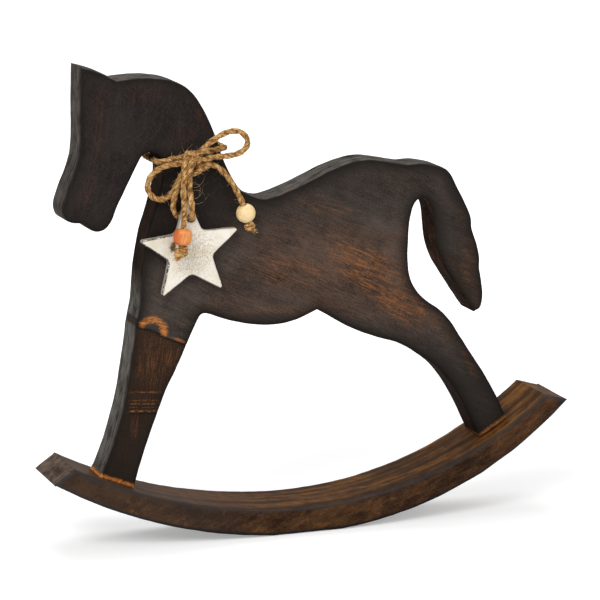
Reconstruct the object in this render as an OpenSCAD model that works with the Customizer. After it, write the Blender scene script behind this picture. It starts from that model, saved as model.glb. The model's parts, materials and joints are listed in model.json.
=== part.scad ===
// Wooden rocking horse ornament: flat boards on a wide curved rocker,
// with a jute bow, two beads and a cast star tied round its neck.
// Millimetres. The horse faces -X, its shown face is at -Y, and Z = 0 is the floor.

/* [Boards] */
// Thickness of the horse's boards
board_t = 25; // [20:1:32]
// Straight steps in each stretch of the sawn outline
outline_steps = 5; // [2:1:8]

/* [Rocker] */
// Width of the rocker, across the horse
rocker_w = 50; // [40:1:70]
// Thickness of the rocker at its middle
rocker_t = 18.9; // [15:0.1:22]
// Radius of the rocker's arc under the horse's front
front_radius = 335; // [320:1:350]
// Radius of the rocker's arc under the horse's rear
rear_radius = 263; // [255:1:275]
// Radius of the arc of the rocker's top, in front
front_top_radius = 333; // [325:1:345]
// Radius of the arc of the rocker's top, at the rear
rear_top_radius = 268; // [262:1:275]
// Distance of the rocker's front tip from the middle of its underside
front_reach = 175; // [165:1:185]
// Distance of the rocker's rear tip from the middle of its underside
rear_reach = 185; // [175:1:195]
// Slope of the front end's bevel
front_bevel = 35; // [20:1:50]
// Slope of the rear end's bevel
rear_bevel = 16; // [5:1:30]
// Depth of the flat sanded under the rocker, on which the horse stands still
flat_depth = 1; // [0.6:0.1:2]

/* [Glue dowels] */
// Diameter of the two dowels between neck and torso
neck_dowel_d = 8; // [6:0.5:10]
// Length of the dowels between neck and torso
neck_dowel_l = 30; // [20:1:34]
// Distance between the two neck dowels
neck_dowel_pitch = 28; // [20:1:32]
// Diameter of the two dowels between torso and front leg
leg_dowel_d = 6; // [4:0.5:7]
// Length of the dowels between torso and front leg
leg_dowel_l = 24; // [16:1:26]
// Distance between the two front leg dowels
leg_dowel_pitch = 16; // [12:1:18]
// Chamfer at the ends of a dowel
dowel_chamfer = 0.8; // [0.2:0.1:1.5]
// Glue space round a dowel and past its ends
glue_gap = 0.1; // [0.05:0.05:0.3]

/* [Leg screws] */
// Diameter of a leg screw's shank
screw_d = 4; // [3:0.5:5]
// Length of a leg screw, head to tip
screw_l = 40; // [30:1:46]
// Diameter of a leg screw's countersunk head
screw_head_d = 8; // [7:0.5:10]
// Height of the straight rim of a leg screw's head
screw_rim_h = 0.6; // [0.3:0.1:1]
// Depth of a leg screw's head below the underside of the rocker
screw_sink = 1.5; // [1:0.1:2]
// Width of the slots of the cross recess in a screw's head
recess_w = 1; // [0.6:0.1:1.4]
// Depth of the cross recess
recess_depth = 1.4; // [0.8:0.1:1.8]
// Space between a screw and the wall of its hole
screw_gap = 0.05; // [0.02:0.01:0.1]

/* [Cord] */
// Diameter of the jute cord
cord_d = 4; // [3.6:0.1:4.2]
// Gap between the cord round the neck and the wood
wrap_gap = 0.3; // [0.2:0.1:0.8]
// Diameter of the knot of the bow
knot_d = 10; // [9:0.5:11]
// Height of the knot of the bow
knot_h = 13.5; // [12:0.5:16]
// Space between the knot and the cord round the neck that it grips
grip_gap = 0.05; // [0.02:0.01:0.1]
// Rounding of the knot's ends
knot_round = 4; // [2:0.5:4]
// Diameter of the stopper knot under the pale bead
pale_stopper_d = 7.6; // [7:0.1:8.4]
// Height of the stopper knot under the pale bead
pale_stopper_h = 6; // [5:0.5:7]
// Diameter of the stopper knot under the peach bead
peach_stopper_d = 9.6; // [8:0.1:10.4]
// Height of the stopper knot under the peach bead
peach_stopper_h = 8.4; // [7:0.2:9]
// Diameter of the knot behind the star
tie_d = 8; // [7:0.1:9]

/* [Beads] */
// Diameter of the pale bead on the rear tail
pale_bead_d = 12.6; // [11:0.1:13]
// Height of the pale bead along its hole
pale_bead_h = 11.2; // [9:0.1:12]
// Diameter of the peach bead on the front tail
peach_bead_d = 11.8; // [11:0.1:12]
// Height of the peach bead along its hole
peach_bead_h = 10.4; // [9:0.1:11]
// Rounding of the peach bead's edges
peach_bead_round = 3.2; // [2:0.1:4]
// Space between the cord and the wall of a bead's hole
bead_play = 0.4; // [0.3:0.05:0.6]
// Gap between a bead and the stopper knot that holds it
stopper_gap = 0.3; // [0.2:0.05:0.5]

/* [Star] */
// Radius of the star's points
star_r = 36.7; // [33:0.1:38]
// Radius of the star's inner corners
star_waist_r = 15.5; // [14:0.5:18]
// Rounding of the star's points
star_point_round = 1.5; // [1:0.1:2.5]
// Rounding of the star's inner corners
star_waist_round = 4; // [2:0.5:6]
// Thickness of the star
star_t = 4.5; // [3:0.1:5]
// Distance of the star's hole from its middle
star_hole_r = 21.8; // [20.5:0.1:23]
// Space between the cord and the wall of the star's hole
star_play = 0.7; // [0.5:0.05:0.8]
// Turn of the star's points about its middle
star_turn = 4; // [0:0.5:8]
// Lean of the star off the board, top outwards
star_lean = 4.5; // [4:0.1:5]
// Space on each side of the cord that lies behind the star
star_back_gap = 0.3; // [0.2:0.05:0.5]

/* [Hidden] */

// Facets of the large arcs, and of the small round pieces
arc_fn = 360;
round_fn = 48;
// Facets round a free cord
cord_fn = 8;
// Facets of each rounded corner of the star
corner_steps = 5;
// Longer than any board, for cutting planes
cut_l = 400;

// The lowest point of the rocker's two underside arcs, before the flat is sanded,
// and of its two top arcs
under_middle = [-5, -flat_depth];
top_middle = [-8.4, rocker_t - flat_depth];
// How far the middle of each foot is from that of the underside
front_foot = -128;
rear_foot = 135.5;

// The sawn outline in X and Z, clockwise from the poll, as smooth runs between corners.
// The legs run on below the top of the rocker, which trims them.
crest_run = [[-131.5, 305.8], [-119, 306.8], [-106, 306.3], [-93, 303.3], [-82, 296.3],
             [-73, 283.3], [-65.8, 267.3], [-61.3, 253.8], [-56, 241.8], [-49.5, 231.8],
             [-43, 227.3], [-35, 224.3], [-27, 224.6], [-8, 231], [12, 239.8], [28, 244.5],
             [39, 245.7], [53, 243.5], [66.5, 240.8]];
rump_run = [[66.5, 240.8], [78, 240.8], [91.5, 237.6], [98, 232.3], [103, 222.8],
            [108.5, 212.8], [112.8, 202.8], [114, 193.8], [117.5, 184.3], [119.4, 175.3],
            [119.6, 167.3], [121.4, 157.8], [122, 148.3], [120.3, 140.6], [115.5, 138]];
tail_run = [[115.5, 138], [110, 145.8], [99, 162.1], [92.5, 172.8], [88, 185.3],
            [86.2, 197.3], [84.5, 210.3], [80.5, 216.5], [76.5, 217.3], [72.5, 213.8],
            [69.6, 204.3], [68.4, 189.3], [68.2, 175.3], [69.8, 164.3], [74.5, 155.1],
            [82, 147.8], [91, 141.1], [99, 132.8], [113.5, 110.5], [125, 92.8],
            [133.5, 77.8], [141.3, 61.3], [157, 27.3]];
belly_run = [[132, 27.3], [119.7, 52.8], [108.2, 76.1], [98, 92.3], [86.5, 104.5],
             [63.5, 119.5], [44, 126.3], [26, 134.2], [14.5, 141.3], [4, 147.5]];
girth_run = [[4, 147.5], [-11, 141.5], [-26, 139.5], [-44, 141.5], [-61, 146],
             [-70, 149.5], [-75, 150.3], [-78.4, 146.5], [-86.4, 130.3], [-94, 113.9],
             [-102.2, 97.9], [-114.7, 64.3], [-128.6, 21.3]];
chest_run = [[-157, 21.3], [-145.3, 48.8], [-136.5, 71.3], [-129, 97.3], [-123.3, 128.8],
             [-120.9, 146.5], [-118, 161.3], [-116.3, 181.3], [-112.4, 202.8],
             [-108.6, 214.8], [-104.6, 227.8], [-102, 239.3], [-101.8, 248.8],
             [-104, 255.5], [-109, 258.3], [-114.8, 256.3], [-119.3, 248.9], [-131.4, 225.3],
             [-135.6, 215.3], [-140.5, 210.1], [-146.5, 208.9], [-152, 211.7],
             [-155.5, 214.9]];
nose_run = [[-155.5, 214.9], [-161.8, 215.5], [-167, 218.7], [-168.5, 225.3], [-166, 234.3],
            [-158.6, 253.3], [-156.4, 265.3], [-156, 288.3], [-155.2, 315.3]];
ear_run = [[-155.2, 315.3], [-149, 313.7], [-140, 310.3], [-131.5, 305.8]];

// Glued seams: from the chest to the withers, and across the top of the front leg
neck_seam = [[-112.4, 202.8], [-43, 227.3]];
leg_seam = [[-120.9, 146.5], [-86.4, 130.3]];

// The neck where the cord goes round it, at the throat and at the nape
throat = [-102, 249.9];
nape = [-61.6, 254.7];
// The neck tapers across the cord's width, so the cord stands off it this much
taper_gap = 0.4;
// Radius of the cord's inner side where it turns round the edges of the neck
wrap_bend = 0.6;

// Places in front of the board: [x, distance out from its face, z]
knot_at = [-86, 6.6, 248.4];
pale_bead_at = [-48.2, 6.8, 216.5];
peach_bead_at = [-93.6, 14.8, 205.3];
star_hole_at = [-86, 216.1];
// How far the cord leans in each bead, from the vertical towards +X
pale_bead_tilt = 17;
peach_bead_tilt = -7;

// Routes of the free cords, from the bow's knot outwards: [x, distance out, z]
left_loop_route = [[-88.6, 7.2, 251.8], [-92, 7.2, 251.6], [-96, 6.9, 251.2],
                   [-100.6, 6.6, 250.5], [-105.2, 6.3, 249.1], [-109.3, 6, 246.5],
                   [-112.5, 5.8, 242.7], [-113.9, 5.6, 237.9], [-112.7, 5.4, 233.3],
                   [-109.3, 5.1, 229.9], [-104.7, 4.6, 228.5], [-100.1, 3.9, 229.5],
                   [-96.5, 3.3, 232.5], [-93.8, 2.9, 236.5], [-91.4, 2.6, 240.8],
                   [-89.5, 3, 244.2], [-88, 4, 246.6]];
right_loop_route = [[-85, 9.6, 250.8], [-83.6, 10.4, 254], [-81.2, 11.2, 257.6],
                    [-77.6, 12.2, 261.6], [-73, 13, 265.6], [-67.4, 13.6, 269.2],
                    [-61.2, 13.6, 271.3], [-55.2, 13, 271.1], [-50.6, 11.8, 268.3],
                    [-48, 10.4, 263.9], [-49, 8.8, 259.1], [-53.4, 7.6, 255.9],
                    [-59.4, 7.2, 254.7], [-66, 7.4, 254.5], [-72.6, 7.7, 254.1],
                    [-77.6, 7.8, 253.4], [-81.8, 7.6, 252.6]];
left_tail_route = [[-88.6, 10.2, 248.4], [-89.8, 11, 245.2], [-90.9, 11.2, 241.6],
                   [-91.6, 11.3, 237.6], [-91.8, 11.6, 233.5], [-91.7, 12.1, 229.5],
                   [-91.6, 12.8, 225.5], [-91.9, 13.6, 221.5], [-92.4, 14.2, 217.5],
                   [-92.8, 14.6, 213.5], [-93.1, 14.8, 209.3], [-93.6, 14.8, 205.3],
                   [-94.1, 14.8, 201.3], [-94.7, 14.8, 196.6]];
right_tail_route = [[-82, 5.8, 248.5], [-78, 5.3, 249.4], [-73.6, 5, 249.7],
                    [-69.4, 4.8, 248.7], [-65.4, 4.5, 246.4], [-61.8, 4.4, 243.1],
                    [-58.6, 4.6, 239.1], [-55.8, 5.2, 234.7], [-53.4, 6, 230.1],
                    [-51.4, 6.6, 225.6], [-49.7, 6.8, 221.3], [-48.2, 6.8, 216.5],
                    [-47, 6.8, 212.6], [-46.1, 6.8, 209.7]];
star_cord_route = [[-86.7, 8.6, 243.9], [-87, 9.4, 240.7], [-87.2, 10.4, 237.3],
                   [-87.3, 11.6, 233.9], [-87.3, 12.8, 230.5], [-87.2, 13.8, 227.1],
                   [-87, 14.4, 223.6], [-86.7, 14.2, 220.4], [-86.4, 12.8, 217.7],
                   [-86.1, 10.4, 216.2], [-86, 7, 215.9], [-86, 3.6, 216]];
star_cord_end_route = [[-88.1, 2.3, 215.4], [-91, 2.3, 215.8], [-93.6, 2.4, 217.3],
                       [-95.5, 3.3, 219.9], [-96.5, 4.7, 223.2], [-96.7, 6.2, 227],
                       [-96.3, 7.5, 231], [-95.4, 8, 235.1], [-94, 7.8, 238.9],
                       [-92.3, 7.3, 242], [-90.5, 6.8, 244.6]];

// A smooth run through points (Catmull-Rom), leaving out its last point
function between(a, b, c, d, t) =
    0.5 * (2 * b + (c - a) * t + (2 * a - 5 * b + 4 * c - d) * t * t
           + (3 * b - a - 3 * c + d) * t * t * t);
function smooth_run(p) = [for (i = [0:len(p) - 2], k = [0:outline_steps - 1])
    between(p[max(i - 1, 0)], p[i], p[i + 1], p[min(i + 2, len(p) - 1)], k / outline_steps)];
horse_outline = concat(smooth_run(crest_run), smooth_run(rump_run), smooth_run(tail_run),
                       [tail_run[len(tail_run) - 1]], smooth_run(belly_run),
                       smooth_run(girth_run), [girth_run[len(girth_run) - 1]],
                       smooth_run(chest_run), smooth_run(nose_run), smooth_run(ear_run));

// A corner b between a and c, rounded by an arc that touches both of its sides
function turned(p, a) = [p[0] * cos(a) - p[1] * sin(a), p[0] * sin(a) + p[1] * cos(a)];
function rounded_corner(a, b, c, r) =
    let (u = (a - b) / norm(a - b),
         v = (c - b) / norm(c - b),
         half = acos(u * v) / 2,
         middle = b + (u + v) / norm(u + v) * r / sin(half),
         from = b + u * r / tan(half) - middle,
         side = sign(u[1] * v[0] - u[0] * v[1]))
    [for (k = [0:corner_steps])
        middle + turned(from, side * (180 - 2 * half) * k / corner_steps)];
star_corners = [for (i = [0:9])
    (i % 2 == 0 ? star_r : star_waist_r) * [-sin(36 * i), cos(36 * i)]];
star_outline = [for (i = [0:9])
    each rounded_corner(star_corners[(i + 9) % 10], star_corners[i],
                        star_corners[(i + 1) % 10],
                        i % 2 == 0 ? star_point_round : star_waist_round)];

// A tube swept along a route
function unit(v) = v / norm(v);
function heading(p, i) = unit(p[min(i + 1, len(p) - 1)] - p[max(i - 1, 0)]);
function tube_ring(p, i, side) =
    let (u = unit(side - (side * heading(p, i)) * heading(p, i)),
         v = cross(heading(p, i), u))
    [for (k = [0:cord_fn - 1])
        p[i] + cord_d / 2 * (cos(360 * k / cord_fn) * u + sin(360 * k / cord_fn) * v)];
// Sideways from the route, the same all along it: the direction it bends round least
function tube_points(p, side) = [for (i = [0:len(p) - 1]) each tube_ring(p, i, side)];
function tube_faces(n) = concat(
    [[for (k = [0:cord_fn - 1]) k]],
    [for (i = [0:n - 2], k = [0:cord_fn - 1])
        let (next = (k + 1) % cord_fn)
        [i * cord_fn + k, (i + 1) * cord_fn + k,
         (i + 1) * cord_fn + next, i * cord_fn + next]],
    [[for (k = [cord_fn - 1:-1:0]) (n - 1) * cord_fn + k]]);

// Where [x, distance out, z] is, in front of the board
function before_board(p) = [p[0], -board_t / 2 - p[1], p[2]];
module free_cord(route, side = [0, 1, 0]) {
    polyhedron(tube_points([for (p = route) before_board(p)], side),
               tube_faces(len(route)));
}

// An outline drawn in X and Z, as a board of thickness t that is centred on Y = 0
module board(t) {
    rotate([90, 0, 0]) linear_extrude(t, center = true) children();
}
// How far the middle of the cord round the neck is from the middle of the board
wrap_out = board_t / 2 + wrap_gap + cord_d / 2;

// Whatever lies above a seam, or below it
function slope(seam) = atan2(seam[1][1] - seam[0][1], seam[1][0] - seam[0][0]);
function beside(seam, reach, side) =
    let (along = unit(seam[1] - seam[0]), off = side * cut_l * [-along[1], along[0]])
    [seam[0] - reach * along, seam[0], seam[1], seam[1] + reach * along,
     seam[1] + reach * along + off, seam[0] - reach * along + off];
module above(seam) {
    polygon(beside(seam, cut_l, 1));
}
module below(seam) {
    polygon(beside(seam, norm(seam[1] - seam[0]), -1));
}
// A disc that stands on a point: its edge is the arc of that radius through the point
module disc_on(middle, radius) {
    translate(middle + [0, radius]) circle(r = radius, $fn = arc_fn);
}
// What the top of the rocker leaves of a leg, on its arc of the given radius
module trimmed_by_rocker(top_radius) {
    intersection() {
        children();
        disc_on(top_middle, top_radius);
    }
}

// Places something at the middle of a seam: X along it, Z across it
module at_seam(seam) {
    middle = (seam[0] + seam[1]) / 2;
    translate([middle[0], 0, middle[1]]) rotate([0, -slope(seam), 0]) children();
}
module dowel_pair(seam, pitch, d, l, chamfer) {
    at_seam(seam)
        for (x = [-pitch / 2, pitch / 2])
            translate([x, 0, -l / 2])
                rotate_extrude($fn = round_fn)
                    polygon([[0, 0], [d / 2 - chamfer, 0], [d / 2, chamfer],
                             [d / 2, l - chamfer], [d / 2 - chamfer, l], [0, l]]);
}
module dowel_holes(seam, pitch, d, l) {
    at_seam(seam)
        for (x = [-pitch / 2, pitch / 2])
            translate([x, 0, 0])
                cylinder(d = d + 2 * glue_gap, h = l + 2 * glue_gap, center = true, $fn = round_fn);
}
module neck_dowel_holes() {
    dowel_holes(neck_seam, neck_dowel_pitch, neck_dowel_d, neck_dowel_l);
}
module leg_dowel_holes() {
    dowel_holes(leg_seam, leg_dowel_pitch, leg_dowel_d, leg_dowel_l);
}

// Places something on the underside of the rocker, below a foot and square to the arc
module under_foot(foot, radius) {
    translate([under_middle[0], 0, under_middle[1] + radius])
        rotate([0, -asin(foot / (radius - rocker_t)), 0])
            translate([0, 0, -radius]) children();
}
// Half outline of a leg screw, or of its hole when it is grown by a gap
function screw_profile(gap) =
    let (head_r = screw_head_d / 2 + gap, shank_r = screw_d / 2 + gap)
    [[0, screw_sink], [head_r, screw_sink], [head_r, screw_sink + screw_rim_h],
     [shank_r, screw_sink + screw_rim_h + (screw_head_d - screw_d) / 2],
     [shank_r, screw_sink + screw_l - 1.5 * screw_d + gap],
     [gap, screw_sink + screw_l + gap], [0, screw_sink + screw_l + gap]];
module leg_screw() {
    difference() {
        rotate_extrude($fn = round_fn) polygon(screw_profile(0));
        for (turn = [0, 90])
            rotate(turn)
                translate([-screw_head_d / 4, -recess_w / 2, screw_sink - 1])
                    cube([screw_head_d / 2, recess_w, 1 + recess_depth]);
    }
}
module screw_hole() {
    rotate_extrude($fn = round_fn) polygon(screw_profile(screw_gap));
    translate([0, 0, -screw_sink])
        cylinder(r = screw_head_d / 2 + screw_gap, h = 2 * screw_sink + screw_rim_h, $fn = round_fn);
}
module front_screw_hole() {
    under_foot(front_foot, front_radius) screw_hole();
}
module rear_screw_hole() {
    under_foot(rear_foot, rear_radius) screw_hole();
}

// A round piece with rounded ends and a hole along Z
module turned_piece(d, h, rounding, hole_d) {
    centre_z = max(h / 2 - rounding, 0);
    rotate_extrude($fn = round_fn)
        intersection() {
            union() {
                for (z = [-centre_z, centre_z])
                    translate([d / 2 - rounding, z]) circle(r = rounding, $fn = round_fn);
                if (rounding < d / 2) translate([0, -h / 2]) square([d / 2 - rounding, h]);
                if (centre_z > 0) translate([0, -centre_z]) square([d / 2, 2 * centre_z]);
            }
            translate([hole_d / 2, -h / 2]) square([d, h]);
        }
}
module at_bead(place, tilt) {
    translate(before_board(place)) rotate([0, -tilt, 0]) children();
}
module stopper_below(bead_h, d, h) {
    translate([0, 0, -bead_h / 2 - stopper_gap - h / 2]) turned_piece(d, h, h / 2 - 0.2, 0);
}

module head_and_neck() {
    color("#2b2019")
        difference() {
            board(board_t)
                intersection() {
                    polygon(horse_outline);
                    above(neck_seam);
                }
            neck_dowel_holes();
        }
}

module torso() {
    color("#33241a")
        difference() {
            board(board_t)
                trimmed_by_rocker(rear_top_radius)
                    difference() {
                        polygon(horse_outline);
                        above(neck_seam);
                        below(leg_seam);
                    }
            neck_dowel_holes();
            leg_dowel_holes();
            rear_screw_hole();
        }
}

module front_leg() {
    color("#3a271b")
        difference() {
            board(board_t)
                trimmed_by_rocker(front_top_radius)
                    intersection() {
                        polygon(horse_outline);
                        below(leg_seam);
                    }
            leg_dowel_holes();
            front_screw_hole();
        }
}

// The rear half of a disc that stands on a point, or its front half, above the floor
module half_disc(middle, radius, front) {
    intersection() {
        disc_on(middle, radius);
        translate([middle[0], 0]) mirror([front, 0]) square([radius, cut_l / 2]);
    }
}
// Whatever lies above the bevel at an end of the rocker
module above_bevel(radius, reach, bevel, front) {
    tip_z = under_middle[1] + radius - sqrt(radius * radius - reach * reach);
    translate([under_middle[0], 0]) mirror([front, 0])
        translate([reach, tip_z]) rotate(-bevel) translate([-cut_l, 0]) square([2 * cut_l, cut_l]);
}
module rocker() {
    color("#4a2f1c")
        difference() {
            board(rocker_w)
                difference() {
                    union() {
                        half_disc(under_middle, rear_radius, 0);
                        half_disc(under_middle, front_radius, 1);
                    }
                    half_disc(top_middle, rear_top_radius, 0);
                    half_disc(top_middle, front_top_radius, 1);
                    above_bevel(rear_radius, rear_reach, rear_bevel, 0);
                    above_bevel(front_radius, front_reach, front_bevel, 1);
                }
            front_screw_hole();
            rear_screw_hole();
        }
}

module neck_dowels() {
    color("#c49a6c")
        dowel_pair(neck_seam, neck_dowel_pitch, neck_dowel_d, neck_dowel_l, dowel_chamfer);
}

module leg_dowels() {
    color("#c49a6c")
        dowel_pair(leg_seam, leg_dowel_pitch, leg_dowel_d, leg_dowel_l, dowel_chamfer);
}

module leg_screws() {
    color("#b9b9b4") {
        under_foot(front_foot, front_radius) leg_screw();
        under_foot(rear_foot, rear_radius) leg_screw();
    }
}

// A quarter of the ring of cord round the neck: a corner, and half of two straight runs
module wrap_quarter(half_w, half_t, bend_r) {
    translate([half_w - bend_r, half_t - bend_r, 0])
        rotate_extrude(angle = 90, $fn = round_fn)
            translate([bend_r, 0]) circle(d = cord_d, $fn = round_fn);
    translate([0, half_t, 0]) rotate([0, 90, 0])
        cylinder(d = cord_d, h = half_w - bend_r, $fn = round_fn);
    translate([half_w, 0, 0]) rotate([-90, 0, 0])
        cylinder(d = cord_d, h = half_t - bend_r, $fn = round_fn);
}
module neck_wrap() {
    half_w = norm(nape - throat) / 2 + taper_gap + cord_d / 2;
    color("#b98a4e")
        at_seam([throat, nape])
            for (x = [0, 1], y = [0, 1])
                mirror([x, 0, 0]) mirror([0, y, 0])
                    wrap_quarter(half_w, wrap_out, cord_d / 2 + wrap_bend);
}

module bow_knot() {
    color("#b98a4e")
        difference() {
            translate(before_board(knot_at)) turned_piece(knot_d, knot_h, knot_round, 0);
            at_seam([throat, nape])
                translate([0, -wrap_out, 0]) rotate([0, 90, 0])
                    cylinder(d = cord_d + 2 * grip_gap, h = 4 * knot_d, center = true, $fn = round_fn);
        }
}

module left_loop() {
    color("#b98a4e") free_cord(left_loop_route);
}

module right_loop() {
    color("#b98a4e") free_cord(right_loop_route);
}

module left_tail() {
    color("#b98a4e") free_cord(left_tail_route);
}

module right_tail() {
    color("#b98a4e") free_cord(right_tail_route);
}

module star_cord() {
    color("#b98a4e") free_cord(star_cord_route, [1, 0, 0]);
}

module star_cord_end() {
    color("#b98a4e") free_cord(star_cord_end_route);
}

module star_tie() {
    // The star's back comes closer to the board below its hole, by its lean
    tie_t = cord_d - tie_d / 2 * tan(star_lean);
    color("#b98a4e")
        translate(before_board([star_hole_at[0], star_back_gap + tie_t / 2, star_hole_at[1]]))
            rotate([90, 0, 0]) turned_piece(tie_d, tie_t, tie_t / 2 - 0.2, 0);
}

module left_stopper() {
    color("#b98a4e")
        at_bead(peach_bead_at, peach_bead_tilt)
            stopper_below(peach_bead_h, peach_stopper_d, peach_stopper_h);
}

module right_stopper() {
    color("#b98a4e")
        at_bead(pale_bead_at, pale_bead_tilt)
            stopper_below(pale_bead_h, pale_stopper_d, pale_stopper_h);
}

module left_bead() {
    color("#f0a070")
        at_bead(peach_bead_at, peach_bead_tilt)
            turned_piece(peach_bead_d, peach_bead_h, peach_bead_round, cord_d + 2 * bead_play);
}

module right_bead() {
    color("#f3dca4")
        at_bead(pale_bead_at, pale_bead_tilt)
            turned_piece(pale_bead_d, pale_bead_h, pale_bead_d / 2, cord_d + 2 * bead_play);
}

module star() {
    star_out = cord_d + 2 * star_back_gap;
    color("#dcdcd8")
        translate(before_board([star_hole_at[0], star_out, star_hole_at[1]]))
            rotate([90 + star_lean, 0, 0])
                linear_extrude(star_t)
                    difference() {
                        translate([0, -star_hole_r]) rotate(star_turn) polygon(star_outline);
                        circle(d = cord_d + 2 * star_play, $fn = round_fn);
                    }
}

head_and_neck();
torso();
front_leg();
rocker();
neck_dowels();
leg_dowels();
leg_screws();
neck_wrap();
bow_knot();
left_loop();
right_loop();
left_tail();
right_tail();
star_cord();
star_cord_end();
star_tie();
left_stopper();
right_stopper();
left_bead();
right_bead();
star();
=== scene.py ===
"""A rocking horse sawn from dark-stained boards, with a twine bow, two beads and a cast star."""

import json
import random
from math import copysign, cos, hypot, pi, radians, sin, sqrt

import bmesh
import bpy
from mathutils import Matrix, Vector, noise
from mathutils.bvhtree import BVHTree
from mathutils.kdtree import KDTree


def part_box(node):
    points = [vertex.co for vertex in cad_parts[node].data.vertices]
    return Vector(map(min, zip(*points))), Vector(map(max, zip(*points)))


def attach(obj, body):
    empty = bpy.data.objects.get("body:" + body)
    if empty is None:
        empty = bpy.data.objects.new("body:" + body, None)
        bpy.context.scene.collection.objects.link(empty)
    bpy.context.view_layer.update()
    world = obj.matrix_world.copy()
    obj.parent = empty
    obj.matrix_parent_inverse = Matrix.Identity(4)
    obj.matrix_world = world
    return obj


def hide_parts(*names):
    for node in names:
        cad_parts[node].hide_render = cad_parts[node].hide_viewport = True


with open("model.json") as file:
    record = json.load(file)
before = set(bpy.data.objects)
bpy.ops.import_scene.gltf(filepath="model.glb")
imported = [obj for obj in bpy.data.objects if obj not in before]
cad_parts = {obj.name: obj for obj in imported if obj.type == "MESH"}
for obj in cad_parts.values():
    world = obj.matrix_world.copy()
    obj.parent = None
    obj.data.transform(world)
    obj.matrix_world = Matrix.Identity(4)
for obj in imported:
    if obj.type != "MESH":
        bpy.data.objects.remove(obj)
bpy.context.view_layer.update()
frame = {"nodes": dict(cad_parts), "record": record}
nodes = frame["nodes"]


# -------------------------------- The studio
# A white sweep of paper under soft lamps. The horse stands side on, turned a
# little so that its chest and the top of its back show.

AIM = Vector((-0.004, 0, 0.1523))
STAND_OFF = 2.1
TURNED, RAISED = radians(-20), radians(11.93)
LENS, SENSOR = 191.3, 36  # millimetres


def placed(name, data):
    """A new object of that data, in the scene."""
    made = bpy.data.objects.new(name, data)
    bpy.context.scene.collection.objects.link(made)
    return made


camera = placed("camera", bpy.data.cameras.new("camera"))
camera.data.lens = LENS
camera.data.sensor_width = SENSOR
camera.data.clip_end = 20
flat = cos(RAISED)
from_aim = Vector((sin(TURNED) * flat, -cos(TURNED) * flat, sin(RAISED)))
camera.location = AIM + STAND_OFF * from_aim
camera.rotation_euler = from_aim.to_track_quat("Z", "Y").to_euler()
bpy.context.scene.camera = camera
bpy.context.scene.view_settings.view_transform = "Standard"


class Shade:
    """A socket of a material's nodes. Python's operators on it add Math nodes."""

    def __init__(self, tree, socket):
        self.tree, self.socket = tree, socket

    def node(self, kind, links=(), out=0, stops=None, **settings):
        """A node of a kind, with its settings and then its sockets' values or links."""
        made = self.tree.nodes.new(kind)
        for setting, value in settings.items():
            setattr(made, setting, value)
        if stops:
            ramp = made.color_ramp.elements
            while len(ramp) < len(stops):
                ramp.new(0.5)
            for element, (at, colour) in zip(ramp, stops):
                element.position, element.color = at, (*colour, 1)
        for name, value in dict(links).items():
            if isinstance(value, Shade):
                self.tree.links.new(value.socket, made.inputs[name])
            else:
                made.inputs[name].default_value = value
        return Shade(self.tree, made.outputs[out])

    def maths(self, operation, *values):
        """A Math node on these values, which may be numbers."""
        return self.node("ShaderNodeMath", dict(enumerate(values)), operation=operation)

    def __add__(self, other):
        return self.maths("ADD", self, other)

    __radd__ = __add__

    def __sub__(self, other):
        return self.maths("SUBTRACT", self, other)

    def __rsub__(self, other):
        return self.maths("SUBTRACT", other, self)

    def __mul__(self, other):
        return self.maths("MULTIPLY", self, other)

    __rmul__ = __mul__

    def __truediv__(self, other):
        return self.maths("DIVIDE", self, other)

    def __rtruediv__(self, other):
        return self.maths("DIVIDE", other, self)

    def __abs__(self):
        return self.maths("ABSOLUTE", self)

    def least(self, other):
        return self.maths("MINIMUM", self, other)

    def most(self, other):
        return self.maths("MAXIMUM", self, other)

    def rise(self, low, high):
        """From 0 at low to 1 at high, smoothly, and the other way round if low is more."""
        return self.node(
            "ShaderNodeMapRange",
            {"Value": self, "From Min": low, "From Max": high},
            interpolation_type="SMOOTHSTEP",
        )

    def reach(self, other):
        """The length of the line across two sides that are square to each other."""
        return self.maths("POWER", self * self + other * other, 0.5)

    def parts(self):
        """The X, Y and Z of a vector."""
        split = self.node("ShaderNodeSeparateXYZ", {0: self}).socket.node
        return [Shade(self.tree, o) for o in split.outputs]

    def point(self, x, y, z):
        return self.node("ShaderNodeCombineXYZ", {0: x, 1: y, 2: z})

    def mottle(self, detail=3, rough=0.55):
        """Noise from 0 to 1 on this vector, one cell to a unit."""
        return self.node(
            "ShaderNodeTexNoise",
            {"Vector": self, "Scale": 1, "Detail": detail, "Roughness": rough},
        )

    def blended(self, a, b):
        """Colour a where this is 0, and colour b where it is 1."""
        a, b = (c if isinstance(c, Shade) else (*c, 1) for c in (a, b))
        return self.node("ShaderNodeMix", {0: self, 6: a, 7: b}, out=2, data_type="RGBA")


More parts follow.
